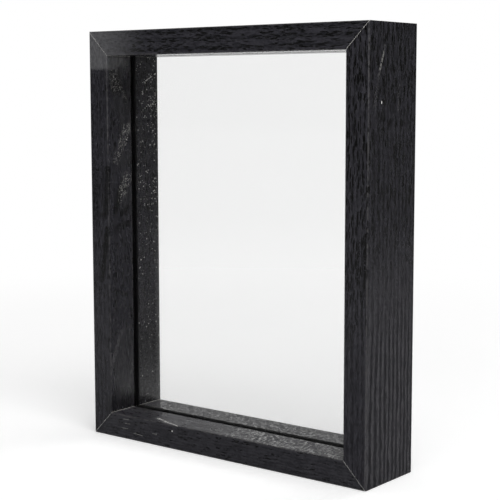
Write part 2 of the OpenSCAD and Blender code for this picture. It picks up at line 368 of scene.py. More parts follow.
earlywood = add_math(tree, "SUBTRACT", 1.0, latewood)
patchy = add_ramp(tree, add_noise(tree, point, CROWD_SCALE), 0.3, 0.7)
row_share = add_math(tree, "MULTIPLY", add_blend(tree, patchy, 0.5, 1.0), earlywood)
loose_share = add_ramp(tree, add_noise(tree, point, LOOSE_SCALE), 0.4, 0.7, 0.12, 0.75)
share = add_math(tree, "MULTIPLY", add_math(tree, "MAXIMUM", row_share, loose_share), given["Openness"])
small_share = add_math(tree, "MULTIPLY", share, 0.6)
spread = add_scaled(tree, point, add_math(tree, "DIVIDE", 1.0, given["Coarseness"]))
crowds = add_math(tree, "MAXIMUM", add_pores(tree, spread, *LARGE_PORE, 0.44, share),
                  add_pores(tree, spread, *SMALL_PORE, 0.46, small_share))
open_pores = add_math(tree, "MULTIPLY", crowds, add_pores(tree, point, *PORE_BREAK, 0.6, 0.85))
pores = add_math(tree, "MAXIMUM", open_pores, add_math(tree, "MULTIPLY", crowds, 0.96))

mottle = add_noise(tree, point, MOTTLE_SCALE, 1.0)
fibre = add_ramp(tree, add_blend(tree, 0.5, streaks, mottle), 0.41, 0.59)
planing = add_noise(tree, point, PLANING_SCALE, 1.0)
ragged = add_ramp(tree, add_noise(tree, point, TEARING_SCALE), 0.34, 0.6, 0.55, 1.0)
torn_glint = add_math(tree, "MULTIPLY", add_ramp(tree, planing, 0.49, 0.59), ragged)
height = add_math(tree, "MULTIPLY", latewood, LATEWOOD_DEPTH)
height = add_math(tree, "MULTIPLY_ADD", streaks, STREAK_DEPTH, height)
height = add_math(tree, "MULTIPLY_ADD", planing, given["Tooth"], height)
height = add_math(tree, "MULTIPLY_ADD", open_pores, PORE_DEPTH, height)
fill_group(tree, result,
           {"Latewood": latewood, "Pores": pores, "Fibre": fibre, "Torn": torn_glint, "Height": height})

# A thin pale line where a mitre closes, broken here and there, from the two distances to a corner's outsides
mitre_line, given, result = new_group(
    "Mitre_Line", {"Point": Vector(), "Across": 0.0, "Up": 0.0, "Half Width": 0.00006}, ["Line"])
tree = mitre_line
apart = add_math(tree, "ABSOLUTE", add_math(tree, "SUBTRACT", given["Across"], given["Up"]))
apart = add_math(tree, "MULTIPLY", apart, math.sqrt(0.5))
line = add_ramp(tree, apart, given["Half Width"], add_math(tree, "MULTIPLY", given["Half Width"], 0.7))
gaps = add_ramp(tree, add_noise(tree, given["Point"], (300.0, 300.0, 300.0)), 0.24, 0.36)
fill_group(tree, result, {"Line": add_math(tree, "MULTIPLY", line, gaps)})

# Where hands and cloths have rubbed an arris, and where a painted highlight runs along it, from the distance
# to it
RUBBED_THROUGH = 0.0003
rubbed_arris_highlight, given, result = new_group(
    "Rubbed_Arris_Highlight", {"Point": Vector(), "Distance": 0.0, "Reach": 0.0011}, ["Rub"])
tree = rubbed_arris_highlight
near = add_ramp(tree, given["Distance"], given["Reach"], RUBBED_THROUGH)
uneven = add_ramp(tree, add_noise(tree, given["Point"], (420.0, 420.0, 420.0), 4.0), 0.42, 0.6, 0.08, 1.0)
fill_group(tree, result, {"Rub": add_math(tree, "MULTIPLY", near, uneven)})

# A scuff, a stain, a caught fibre or a patch of painted shade, as a line between two points that fades out to
# its sides. Fray is how far it is broken up, from 0 for whole to 1 for a few specks.
FRAY_SCALE = (950.0, 950.0, 1200.0)
SHORTEST_SQUARED = 1e-9
mark_line, given, result = new_group(
    "Scuff", {"Point": Vector(), "Start": Vector(), "End": Vector(), "Half Width": 0.0003, "Fray": 0.5},
    ["Mark"])
tree = mark_line
run = add_vector(tree, "SUBTRACT", given["End"], given["Start"])
reach = add_vector(tree, "SUBTRACT", given["Point"], given["Start"])
along = add_vector(tree, "DOT_PRODUCT", reach, run, result="Value")
whole = add_vector(tree, "DOT_PRODUCT", run, run, result="Value")
whole = add_math(tree, "MAXIMUM", whole, SHORTEST_SQUARED)
along = add_math(tree, "DIVIDE", along, whole, clamp=True)
apart = add_length(tree, add_vector(tree, "SUBTRACT", reach, add_scaled(tree, run, along)))
inside = add_ramp(tree, apart, given["Half Width"], add_math(tree, "MULTIPLY", given["Half Width"], 0.4))
least = add_math(tree, "MULTIPLY_ADD", given["Fray"], 0.4, 0.2)
broken = add_noise(tree, given["Point"], FRAY_SCALE, 1.0)
broken = add_ramp(tree, broken, least, add_math(tree, "ADD", least, 0.05))
fill_group(tree, result, {"Mark": add_math(tree, "MULTIPLY", inside, broken)})

# Specks of dust, in loose clusters, where amount is the share of the places for a speck that hold one
SPECK_SCALE = 700.0
CLUSTER_SCALE = (120.0, 120.0, 120.0)
dust_specks, given, result = new_group("Dust", {"Point": Vector(), "Amount": 0.1}, ["Specks"])
tree = dust_specks
places = add_node(tree, "ShaderNodeTexVoronoi", {"Vector": given["Point"], "Scale": SPECK_SCALE}).outputs
drawn = add_node(tree, "ShaderNodeSeparateColor", {"Color": places["Color"]}).outputs
clusters = add_ramp(tree, add_noise(tree, given["Point"], CLUSTER_SCALE), 0.38, 0.6, 0.3, 1.0)
kept = add_math(tree, "LESS_THAN", drawn["Red"], add_math(tree, "MULTIPLY", given["Amount"], clusters))
speck_size = add_math(tree, "MULTIPLY_ADD", add_math(tree, "POWER", drawn["Green"], 2.0), 0.22, 0.22)
speck = add_ramp(tree, places["Distance"], speck_size, add_math(tree, "MULTIPLY", speck_size, 0.7))
fill_group(tree, result, {"Specks": add_math(tree, "MULTIPLY", speck, kept)})

# A painted highlight at the top left corner of the frame: a pale, uneven patch of light with a soft lower
# edge, laid into the wood's colour
HIGHLIGHT_LEAST_Z, HIGHLIGHT_FULL_Z, HIGHLIGHT_SLOPE = 0.2441, 0.2468, -0.11
HIGHLIGHT_LEAST_X, HIGHLIGHT_FULL_X = -0.056, -0.102
HIGHLIGHT_LEAST_Y = -0.003
lacquer_highlight, given, result = new_group("Lacquer_Highlight", {"Point": Vector()}, ["Highlight"])
tree = lacquer_highlight
x, y, z = add_node(tree, "ShaderNodeSeparateXYZ", {0: given["Point"]}).outputs
rise = add_math(tree, "MULTIPLY_ADD", add_math(tree, "SUBTRACT", y, FRONT_Y), HIGHLIGHT_SLOPE, z)
high_up = add_ramp(tree, rise, HIGHLIGHT_LEAST_Z, HIGHLIGHT_FULL_Z)
highlight_mask = add_math(tree, "MULTIPLY", high_up, add_ramp(tree, x, HIGHLIGHT_LEAST_X, HIGHLIGHT_FULL_X))
highlight_mask = add_math(tree, "MULTIPLY", highlight_mask, add_ramp(tree, y, HIGHLIGHT_LEAST_Y, FRONT_Y))
cloudy = add_ramp(tree, add_noise(tree, given["Point"], (500.0, 500.0, 500.0), 3.0), 0.3, 0.7, 0.6, 1.0)
fill_group(tree, result, {"Highlight": add_math(tree, "MULTIPLY", highlight_mask, cloudy)})


def add_insets(tree, x, z, outside):
    """How far a point lies in from the sides of an upright rectangle, and how far in from its ends. outside
    is the rectangle's half width, and its lowest and highest point."""
    half_w, low, high = outside
    across = add_math(tree, "SUBTRACT", half_w, add_math(tree, "ABSOLUTE", x))
    up = add_math(tree, "ABSOLUTE", add_math(tree, "SUBTRACT", z, (low + high) / 2))
    return across, add_math(tree, "SUBTRACT", (high - low) / 2, up)


def add_arris_distance(tree, inset, depth, arrises):
    """The distance to the nearest of a section's arrises, each given as (inset, depth)."""
    distances = []
    for arris_inset, arris_depth in arrises:
        side = add_math(tree, "ABSOLUTE", add_math(tree, "SUBTRACT", inset, arris_inset))
        back = add_math(tree, "ABSOLUTE", add_math(tree, "SUBTRACT", depth, arris_depth))
        distances.append(add_math(tree, "MAXIMUM", side, back))
    return combine(tree, "MINIMUM", distances)


OUTER_SIDE_FROM, OUTER_SIDE_TO = 0.0010, 0.0003
RINGED_FROM_Z, RINGED_TO_Z = 0.125, 0.070
FACE_LATER = 0.045


def add_painted_ring_glint(tree, colour, pores, grain, across, z, heights):
    """Paints a highlight on the outer side's hard summer wood, where it catches the light, and paints the
    pores there lighter: not at all above the upper of two heights and most below the lower one. On the front
    face the pores lighten FACE_LATER further down."""
    outer = add_ramp(tree, across, OUTER_SIDE_FROM, OUTER_SIDE_TO)
    rise = add_math(tree, "MULTIPLY_ADD", outer, -FACE_LATER, add_math(tree, "ADD", z, FACE_LATER))
    pores_glint = add_ramp(tree, rise, heights[1], heights[0])
    glint_mask = add_math(tree, "MULTIPLY", pores_glint, outer)
    glint_mask = add_math(tree, "MULTIPLY", glint_mask, add_ramp(tree, grain["Fibre"], 0.0, 1.0, 0.4, 1.0))
    ringed = add_blend(tree, add_ramp(tree, z, RINGED_FROM_Z, RINGED_TO_Z), 0.42, grain["Latewood"])
    colour = add_mix(tree, add_math(tree, "MULTIPLY", glint_mask, ringed), colour, LATEWOOD_GLINT)
    return colour, add_math(tree, "MULTIPLY", pores, add_math(tree, "MULTIPLY_ADD", pores_glint, -0.85, 1.0))


TORN_LEFT_X, TORN_RIGHT_X = -0.02, 0.02
SILL_FROM_Z, SILL_TO_Z = FACE_W - 0.0006, FACE_W - 0.0003
SMOOTH_DULLER, TORN_GLOSSIER = 0.14, -0.24


def add_torn_fibre_glints(tree, colour, rough, flecks, x, z, torn_glint, sill_glint):
    """Pale flecks of uneven gloss where planing has torn the fibre, painted paler as glints where the planed
    grain catches the light. torn_glint is how pale they are everywhere, and sill_glint how much paler on the
    right of the sill."""
    on_right = add_ramp(tree, x, TORN_LEFT_X, TORN_RIGHT_X, 0.0, sill_glint)
    on_sill = add_math(tree, "MULTIPLY", on_right, add_ramp(tree, z, SILL_FROM_Z, SILL_TO_Z))
    glinting = add_math(tree, "MULTIPLY", flecks, add_math(tree, "ADD", on_sill, torn_glint))
    uneven = add_blend(tree, flecks, SMOOTH_DULLER, TORN_GLOSSIER)
    uneven = add_math(tree, "MULTIPLY", uneven, add_math(tree, "ADD", on_sill, 3 * torn_glint, clamp=True))
    return add_mix(tree, glinting, colour, TORN_FIBRE_GLINT), add_math(tree, "ADD", rough, uneven)


def add_marks(tree, colour, place, marks):
    """Marks on the wood, each as (colour, start, end, half width, fray), laid one over the other."""
    for mark_colour, start, end, half_width, fray in marks:
        values = {"Point": place, "Start": start, "End": end, "Half Width": half_width, "Fray": fray}
        colour = add_mix(tree, add_group(tree, mark_line, values)["Mark"], colour, mark_colour)
    return colour


DUST_LEAST_Z = 0.02


def add_dust(tree, colour, place, y, z, dust):
    """Specks of dust, more of them further back and higher up."""
    amount = add_ramp(tree, y, 0.0, BACK_Y, 0.5 * dust, 1.3 * dust)
    amount = add_math(tree, "MULTIPLY", amount, add_ramp(tree, z, DUST_LEAST_Z, CASE_H, 0.2, 1.0))
    specks = add_group(tree, dust_specks, {"Point": place, "Amount": amount})["Specks"]
    return add_mix(tree, specks, colour, DUST_SPECK)


def add_surface(tree, colour, rough, height, strength, depth, more):
    """Ends a material with its shader. height becomes a relief of this strength and depth, and more is the
    shader's other inputs."""
    bump = add_node(tree, "ShaderNodeBump", {"Height": height, "Strength": strength, "Distance": depth})
    inputs = {"Base Color": colour, "Roughness": rough, "Normal": bump.outputs["Normal"]}
    shader = add_node(tree, "ShaderNodeBsdfPrincipled", inputs | more)
    add_node(tree, "ShaderNodeOutputMaterial", {"Surface": shader.outputs["BSDF"]})


PORE_ROUGH = 0.2
GROOVE_SHADE_EDGE, ROUNDING_W = 0.0003, 0.0024


def stained_ash(name, along_x, arrises, outside, heart, ring=0.0036, rings=0.38, openness=1.0,
                coarseness=1.0, satin=(0.33, 0.26), relief=0.00018, tooth=0.0, torn_glint=0.0, sill_glint=0.0,
                glint_below=None, marks=(), painted_highlight=False, dust=0.0, groove_shade=None):
    """Black-stained ash.

    along_x: whether the fibre runs along X, and not up
    arrises: the section's arrises, as (in from the outside, back from the front)
    outside: half the width of the mitred frame that the piece belongs to, and its lowest and highest point
    heart: where the middle of the log lies
    ring, rings: how wide the growth rings are, and how much paler their summer wood is
    openness, coarseness: how many pores stay open, and how large they are
    satin: how rough spring and summer wood are to the light
    relief, tooth: how deep the grain is, and how rough the planing left it
    torn_glint, sill_glint: how pale the torn fibre and its painted glints are, everywhere and on the right of
    the sill
    glint_below: the two heights between which a painted highlight lightens the pores and the outer side's
    summer wood
    marks: scuffs, stains, fibres and painted shade, in the form that add_marks takes
    painted_highlight: whether the painted highlight at the top left corner shows
    dust: how much dust lies on it
    groove_shade: how far back the painted shade of the groove reaches, how dull that is, and how much its
    edge is rounded
    """
    made, tree = new_material(name)
    place = add_node(tree, "ShaderNodeTexCoord").outputs["Object"]
    x, y, z = add_node(tree, "ShaderNodeSeparateXYZ", {0: place}).outputs
    turn = (0.0, -math.pi / 2, 0.0) if along_x else (0.0, 0.0, 0.0)
    laid = {"Vector": place, "Rotation": turn, "Location": heart}
    log = add_node(tree, "ShaderNodeMapping", laid).outputs[0]
    grain = add_group(tree, ash_grain, {"Vector": log, "Ring Width": ring, "Openness": openness,
                                        "Coarseness": coarseness, "Tooth": tooth})
    pores = grain["Pores"]
    height = grain["Height"]
    across, up = add_insets(tree, x, z, outside)

    thin = add_math(tree, "MULTIPLY", grain["Latewood"], rings)
    thin = add_math(tree, "MULTIPLY_ADD", grain["Fibre"], 0.62, thin)
    colour = add_mix(tree, thin, STAIN, THIN_STAIN)
    # A painted highlight on the summer wood and pores low on the outer side
    if glint_below:
        colour, pores = add_painted_ring_glint(tree, colour, pores, grain, across, z, glint_below)
    colour = add_mix(tree, pores, colour, OPEN_PORE)
    rough = add_ramp(tree, grain["Latewood"], 0.0, 1.0, *satin)
    rough = add_blend(tree, pores, rough, PORE_ROUGH)
    # Torn fibre, painted paler to stand in for glints of the planed grain
    if torn_glint or sill_glint:
        colour, rough = add_torn_fibre_glints(tree, colour, rough, grain["Torn"], x, z, torn_glint, sill_glint)

    inset = add_math(tree, "MINIMUM", across, up)
    depth = add_math(tree, "SUBTRACT", y, FRONT_Y)
    distance = add_arris_distance(tree, inset, depth, arrises)
    # The arrises, painted pale partly as wear and partly as highlight
    rub_and_highlight = add_group(tree, rubbed_arris_highlight, {"Point": place, "Distance": distance})["Rub"]
    colour = add_mix(tree, rub_and_highlight, colour, RUBBED_STAIN_AND_HIGHLIGHT)
    colour = add_marks(tree, colour, place, marks)
    # The painted highlight at the top left corner
    if painted_highlight:
        colour = add_mix(tree, add_group(tree, lacquer_highlight, {"Point": place})["Highlight"], colour, CORNER_HIGHLIGHT)
    line = add_group(tree, mitre_line, {"Point": place, "Across": across, "Up": up})["Line"]
    colour = add_mix(tree, line, colour, BARE_JOINT)
    if dust:
        colour = add_dust(tree, colour, place, y, z, dust)

    # Painted shade: the face against the glass, deep in the groove, is painted near black
    if groove_shade:
        groove_shade_to, groove_shade_rough, rounding = groove_shade
        groove_shade_mask = add_ramp(tree, y, groove_shade_to, groove_shade_to - GROOVE_SHADE_EDGE)
        colour = add_mix(tree, groove_shade_mask, colour, PAINTED_GROOVE_SHADE)
        rough = add_blend(tree, groove_shade_mask, rough, groove_shade_rough)
        rounded = add_ramp(tree, y, groove_shade_to, groove_shade_to - ROUNDING_W, 0.0, rounding)
        height = add_math(tree, "SUBTRACT", height, rounded)
    add_surface(tree, colour, rough, height, strength=0.6, depth=relief, more={"IOR": 1.5})
    return made


def dress(node, material):
    """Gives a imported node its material."""
    mesh = frame["nodes"][node].data
    mesh.materials.clear()
    mesh.materials.append(material)


# Marks, in the form that add_marks takes. They lie on the outer side at SIDE_X, on the front at FRONT_Y, on
# the inner wall at WALL_X, and on the sill, which is the bottom rail's upper side, at FACE_W.
LEFT_STILE_MARKS = [
    # Painted shade along the top of the inner wall, under the head rail
    (DEEP_STAIN_AND_SHADE, (WALL_X, -0.0180, 0.2380), (WALL_X, -0.0080, 0.2310), 0.0090, 0.0),
    (OPEN_PORE, (WALL_X, -0.0180, 0.2330), (WALL_X, -0.0090, 0.2220), 0.0080, 0.68),
    (SPECKLED, (WALL_X, -0.0200, 0.2420), (WALL_X, -0.0120, 0.2240), 0.0070, 0.99),
    (SMOOTH_STAIN, (WALL_X, -0.0150, 0.2240), (WALL_X, -0.0070, 0.2100), 0.0080, 0.0),
    (SMOOTH_STAIN, (WALL_X, -0.0125, 0.1840), (WALL_X, -0.0060, 0.1880), 0.0070, 0.0),
    (SMOOTH_STAIN, (WALL_X, -0.0100, 0.1560), (WALL_X, -0.0060, 0.1620), 0.0070, 0.0),
    (OPEN_PORE, (WALL_X, -0.0110, 0.2180), (WALL_X, -0.0170, 0.1860), 0.0030, 0.97),
    (SPECKLED, (WALL_X, -0.0075, 0.2070), (WALL_X, -0.0110, 0.1980), 0.0050, 0.85),
    (SPECKLED, (WALL_X, -0.0110, 0.1980), (WALL_X, -0.0180, 0.1860), 0.0042, 0.94),
    (OPEN_PORE, (WALL_X, -0.0150, 0.1650), (WALL_X, -0.0190, 0.1520), 0.0036, 0.5),
    (OPEN_PORE, (WALL_X, -0.0080, 0.1530), (WALL_X, -0.0130, 0.1500), 0.0028, 0.5),
    (OPEN_PORE, (WALL_X, -0.0070, 0.1430), (WALL_X, -0.0185, 0.1400), 0.0028, 0.55),
    (SPECKLED, (WALL_X, -0.0075, 0.1735), (WALL_X, -0.0120, 0.1650), 0.0056, 0.88),
    (SPECKLED, (WALL_X, -0.0125, 0.1640), (WALL_X, -0.0150, 0.1590), 0.0030, 0.97),
    (SMOOTH_STAIN, (WALL_X, -0.0100, 0.0600), (WALL_X, -0.0110, 0.0220), 0.0150, 0.0),
    # Darker at the foot of the inner wall, next to the sill
    (DEEP_STAIN_AND_SHADE, (WALL_X, -0.0190, 0.0210), (WALL_X, -0.0060, 0.0190), 0.0120, 0.0),
    (SCUFFED, (WALL_X, -0.0245, 0.0480), (WALL_X, -0.0150, 0.0700), 0.0020, 0.6),
    (OPEN_PORE, (-0.0950, FRONT_Y, 0.1800), (-0.0970, FRONT_Y, 0.1490), 0.0030, 0.55),
    (OPEN_PORE, (-0.1055, FRONT_Y, 0.1780), (-0.1068, FRONT_Y, 0.1480), 0.0036, 0.75),
    (OPEN_PORE, (-0.0957, FRONT_Y, 0.1400), (-0.0985, FRONT_Y, 0.1210), 0.0030, 0.5),
    (OPEN_PORE, (-0.0992, FRONT_Y, 0.1180), (-0.1015, FRONT_Y, 0.1060), 0.0030, 0.5),
]
RIGHT_STILE_MARKS = [
    (SCUFFED, (SIDE_X, -0.0096, 0.2560), (SIDE_X, -0.0155, 0.2400), 0.0015, 0.6),
    (SPECKLED, (SIDE_X, -0.0102, 0.2535), (SIDE_X, -0.0145, 0.2430), 0.0008, 0.45),
    (SCUFFED, (SIDE_X, -0.0150, 0.2410), (SIDE_X, -0.0210, 0.2180), 0.0022, 0.85),
    (SCUFFED, (SIDE_X, 0.0065, 0.2340), (SIDE_X, 0.0051, 0.2190), 0.0013, 0.8),
    (LINT, (SIDE_X, -0.0124, 0.2247), (SIDE_X, -0.0124, 0.2239), 0.0006, 0.0),
    (OPEN_PORE, (0.1084, FRONT_Y, 0.1500), (0.1080, FRONT_Y, 0.1180), 0.0011, 0.4),
    (OPEN_PORE, (0.1040, FRONT_Y, 0.1450), (0.1030, FRONT_Y, 0.1250), 0.0014, 0.7),
]
BOTTOM_RAIL_MARKS = [
    (LINT, (-0.0397, FRONT_Y, 0.0119), (-0.0395, FRONT_Y, 0.0119), 0.0005, 0.0),
    (SPECKLED, (-0.0829, FRONT_Y, 0.0132), (-0.0783, FRONT_Y, 0.0134), 0.0002, 0.4),
    (SPECKLED, (-0.0818, FRONT_Y, 0.0104), (-0.0772, FRONT_Y, 0.0106), 0.0002, 0.4),
    (SPECKLED, (-0.0847, FRONT_Y, 0.0069), (-0.0795, FRONT_Y, 0.0071), 0.0002, 0.4),
    (SPECKLED, (-0.0739, FRONT_Y, 0.0050), (-0.0659, FRONT_Y, 0.0044), 0.0002, 0.4),
    (SPECKLED, (-0.0569, FRONT_Y, 0.0074), (-0.0532, FRONT_Y, 0.0075), 0.0002, 0.4),
    (OPEN_PORE, (-0.0910, -0.0080, FACE_W), (-0.0780, -0.0050, FACE_W), 0.0045, 0.55),
    (SCUFFED, (-0.0900, -0.0110, FACE_W), (-0.0720, -0.0080, FACE_W), 0.0040, 0.8),
    (DUST, (-0.0590, -0.0185, FACE_W), (-0.0455, -0.0225, FACE_W), 0.0018, 0.86),
    (DUST, (-0.0500, -0.0214, FACE_W), (-0.0350, -0.0254, FACE_W), 0.0004, 0.3),
]

FRAME_LOOKS = {
    "left_stile": {"heart": (0.16, 0.05, 0.4), "marks": LEFT_STILE_MARKS, "openness": 0.5, "rings": 0.15,
                   "painted_highlight": True},
    "right_stile": {"heart": (-0.17, 0.06, 0.1), "marks": RIGHT_STILE_MARKS, "ring": 0.0032,
                    "glint_below": (0.105, 0.165), "openness": 1.45, "coarseness": 1.35},
    "top_rail": {"heart": (-0.20, 0.05, 0.7), "ring": 0.0052, "openness": 1.3, "coarseness": 1.2,
                 "painted_highlight": True},
    "bottom_rail": {"heart": (0.12, -0.04, 0.9), "marks": BOTTOM_RAIL_MARKS, "ring": 0.0017,
                    "openness": 0.28, "torn_glint": 0.006, "sill_glint": 0.66, "satin": (0.44, 0.38), "rings": 0.3},
}
for member, look in FRAME_LOOKS.items():
    is_rail = member.endswith("rail")
    dress(member, stained_ash(member + "_ash", is_rail, FRAME_ARRISES, FRAME_OUTSIDE, **look))

# The corner nails of the frame: V-shaped strips of bare spring steel, driven across each mitre from the back
# and from the rabbet's ledge, and set a little below the wood. They have dulled, with a few spots of rust.
DULLED_STEEL = (0.16, 0.155, 0.15, 1.0)
BARE_STEEL = (0.36, 0.36, 0.36, 1.0)
RUST = (0.13, 0.055, 0.025, 1.0)
NAIL_RELIEF = 0.00004
ROLLING_SCALE = (500.0, 9000.0, 9000.0)
DULLING_SCALE = (420.0, 420.0, 420.0)
SCRATCH_SCALE, SCRATCH_GAP_SCALE = (160.0, 4200.0, 4200.0), (260.0, 700.0, 700.0)
SCRATCH_TURNS = (0.4, 1.3, 2.3)
RUST_SCALE = (900.0, 900.0, 900.0)

# Input: a point in the metal's own frame, metres, with its rolling direction along X
rolled_steel, given, result = new_group(
    "Rolled_Steel", {"Vector": Vector(), "Scratches": 0.3}, ["Grain", "Dull", "Scratch", "Height"])
tree = rolled_steel
grain = add_noise(tree, given["Vector"], ROLLING_SCALE, 3.0)
dull = add_ramp(tree, add_noise(tree, given["Vector"], DULLING_SCALE, 4.0), 0.4, 0.66)
scratches = []
for turn in SCRATCH_TURNS:
    mapped = {"Vector": given["Vector"], "Rotation": (0.0, turn, 0.0)}
    turned = add_node(tree, "ShaderNodeMapping", mapped).outputs[0]
    ridge = add_math(tree, "SUBTRACT", add_noise(tree, turned, SCRATCH_SCALE, 1.0), 0.5)
    ridge = add_ramp(tree, add_math(tree, "ABSOLUTE", ridge), 0.02, 0.005)
    kept = add_ramp(tree, add_noise(tree, turned, SCRATCH_GAP_SCALE), 0.56, 0.66)
    scratches.append(add_math(tree, "MULTIPLY", ridge, kept))
scratch = add_math(tree, "MULTIPLY", combine(tree, "MAXIMUM", scratches), given["Scratches"])
height = add_math(tree, "SUBTRACT", add_math(tree, "MULTIPLY", grain, 0.4), scratch)
fill_group(tree, result, {"Grain": grain, "Dull": dull, "Scratch": scratch, "Height": height})


def nail_steel(name, stand):
    """Bare sheet steel rolled along Y, which is the way the nails stand. stand is where its grain starts."""
    made, tree = new_material(name)
    place = add_node(tree, "ShaderNodeTexCoord").outputs["Object"]
    turned = {"Vector": place, "Rotation": (0.0, 0.0, math.pi / 2), "Location": stand}
    along = add_node(tree, "ShaderNodeMapping", turned).outputs[0]
    metal = add_group(tree, rolled_steel, {"Vector": along, "Scratches": 0.8})
    rust = add_ramp(tree, add_noise(tree, along, RUST_SCALE, 4.0), 0.6, 0.68)
    colour = add_mix(tree, metal["Dull"], BARE_STEEL, DULLED_STEEL)
    colour = add_mix(tree, metal["Scratch"], colour, BARE_STEEL)
    colour = add_mix(tree, rust, colour, RUST)
    rough = add_math(tree, "MAXIMUM", add_ramp(tree, metal["Dull"], 0.0, 1.0, 0.38, 0.6), rust)
    bare = add_math(tree, "SUBTRACT", 1.0, rust)
    add_surface(tree, colour, rough, metal["Height"], strength=0.5, depth=NAIL_RELIEF,
                more={"Metallic": bare})
    return made


dress("frame_v_nails", nail_steel("frame_nail_steel", (0.0, 0.0, 0.0)))

# The two panes of clear float glass, which lie in the rabbet with the foam strips between their margins.
# Their ground edges show green, their faces carry a few faint wipe marks, and light falls straight through.
GLASS_TINT = (0.997, 0.998, 0.997, 1.0)
EDGE_TINT = (0.55, 0.80, 0.70, 1.0)
PANE_LOW, PANE_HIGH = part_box("front_pane")
PANE_OUTSIDE = (PANE_HIGH.x, PANE_LOW.z, PANE_HIGH.z)
PANE_EDGE_FROM, PANE_EDGE_TO = 0.0004, 0.0001
WIPE_SCALE, WIPE_ROUGH, EDGE_ROUGH = (9.0, 9.0, 30.0), 0.012, 0.35


def clear_glass(name, shift):
    """Clear glass whose wipe marks are moved by shift, so that no two panes carry the same ones."""
    made, tree = new_material(name)
    place = add_node(tree, "ShaderNodeTexCoord").outputs["Object"]
    x, y, z = add_node(tree, "ShaderNodeSeparateXYZ", {0: place}).outputs
    inset = add_math(tree, "MINIMUM", *add_insets(tree, x, z, PANE_OUTSIDE))
    edge = add_ramp(tree, inset, PANE_EDGE_FROM, PANE_EDGE_TO)
    colour = add_mix(tree, edge, GLASS_TINT, EDGE_TINT)
    moved = add_node(tree, "ShaderNodeMapping", {"Vector": place, "Location": shift}).outputs[0]
    rough = add_ramp(tree, add_noise(tree, moved, WIPE_SCALE, 3.0), 0.5, 0.8, 0.0, WIPE_ROUGH)
    rough = add_math(tree, "MAXIMUM", rough, add_math(tree, "MULTIPLY", edge, EDGE_ROUGH))
    glass = add_node(tree, "ShaderNodeBsdfPrincipled",
                     {"Base Color": colour, "Roughness": rough, "IOR": 1.45, "Transmission Weight": 1.0})
    clear = add_node(tree, "ShaderNodeBsdfTransparent", {"Color": colour})
    shadow = add_node(tree, "ShaderNodeLightPath").outputs["Is Shadow Ray"]
    both = add_node(tree, "ShaderNodeMixShader", {0: shadow, 1: glass.outputs[0], 2: clear.outputs[0]})
    add_node(tree, "ShaderNodeOutputMaterial", {"Surface": both.outputs[0]})
    return made


dress("front_pane", clear_glass("front_glass", (0.0, 0.0, 0.0)))
dress("rear_pane", clear_glass("rear_glass", (0.4, 0.0, 0.7)))

# The four foam strips between the panes: black closed-cell foam, cut from sheet, which keeps the panes apart
# and the dust out. Only the strips' edges show, as the dark of the groove.
FOAM_BLACK = (0.0015, 0.0015, 0.0015, 1.0)
FOAM_WORN = (0.0045, 0.0045, 0.0045, 1.0)
FOAM_CELL_SCALE = 3200.0
FOAM_RELIEF = 0.0002

foam, tree = new_material("black_foam")
place = add_node(tree, "ShaderNodeTexCoord").outputs["Object"]
cells = add_node(tree, "ShaderNodeTexVoronoi", {"Vector": place, "Scale": FOAM_CELL_SCALE})
cells = cells.outputs["Distance"]
colour = add_mix(tree, add_ramp(tree, cells, 0.1, 0.6), FOAM_BLACK, FOAM_WORN)
rough = add_ramp(tree, cells, 0.0, 0.6, 0.9, 0.98)
add_surface(tree, colour, rough, cells, strength=0.5, depth=FOAM_RELIEF, more={"Specular IOR Level": 0.0})
for side in ("bottom", "left", "top", "right"):
    dress("spacer_" + side, foam)

# The loose retaining frame behind the glass: four thin strips of the same ash, mitred and nailed, cut to lie
# flush with the front lip's walls. They are only planed, so that their grain is rougher than the frame's.
RETAINER_LOW, RETAINER_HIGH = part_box("retainer_bottom")[0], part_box("retainer_top")[1]
RETAINER_OUTSIDE = (-RETAINER_LOW.x, RETAINER_LOW.z, RETAINER_HIGH.z)
RETAINER_W = FACE_W - RETAINER_LOW.z
RETAINER_FROM, RETAINER_TO = RETAINER_LOW.y - FRONT_Y, RETAINER_HIGH.y - FRONT_Y
RETAINER_ARRISES = [(RETAINER_W, RETAINER_FROM), (RETAINER_W, RETAINER_TO), (0.0, RETAINER_TO)]
# Where the strips meet the glass they are painted near black, as the shade deep in the groove
WALL_GROOVE_SHADE = (RETAINER_LOW.y + 0.0010, 0.3, 0.0)
SILL_GROOVE_SHADE = (RETAINER_LOW.y + 0.0022, 0.5, 6.0)

RETAINER_LEFT_MARKS = [
    (OPEN_PORE, (WALL_X, 0.0160, 0.0260), (WALL_X, 0.0160, 0.0700), 0.0220, 0.72),
    # Painted shade over the lower end of the wall
    (DEEP_STAIN_AND_SHADE, (WALL_X, 0.0150, 0.0300), (WALL_X, 0.0150, 0.0560), 0.0200, 0.0),
    (SCUFFED, (WALL_X, 0.0160, 0.0800), (WALL_X, 0.0160, 0.1250), 0.0240, 0.93),
    (LINT, (WALL_X, 0.0117, 0.2372), (WALL_X, 0.0233, 0.2430), 0.0005, 0.72),
]
PLANED = {"relief": 0.0006, "tooth": 0.5}
RETAINER_LOOKS = {
    "left": {"heart": (0.13, -0.03, 0.2), "marks": RETAINER_LEFT_MARKS, "ring": 0.0026, "torn_glint": 0.045,
             "groove_shade": WALL_GROOVE_SHADE, "rings": 0.4, "dust": 0.34},
    "right": {"heart": (0.11, 0.08, 0.6), "groove_shade": WALL_GROOVE_SHADE, "dust": 0.1},
    "top": {"heart": (-0.12, 0.03, 0.3), "groove_shade": WALL_GROOVE_SHADE},
    "bottom": {"heart": (0.14, 0.02, 0.5), "torn_glint": 0.55, "groove_shade": SILL_GROOVE_SHADE, "satin": (0.36, 0.31)},
}
for side, look in RETAINER_LOOKS.items():
    strip = "retainer_" + side
    lies_flat = side in ("top", "bottom")
    ash = stained_ash(strip + "_ash", lies_flat, RETAINER_ARRISES, RETAINER_OUTSIDE, **PLANED, **look)
    dress(strip, ash)

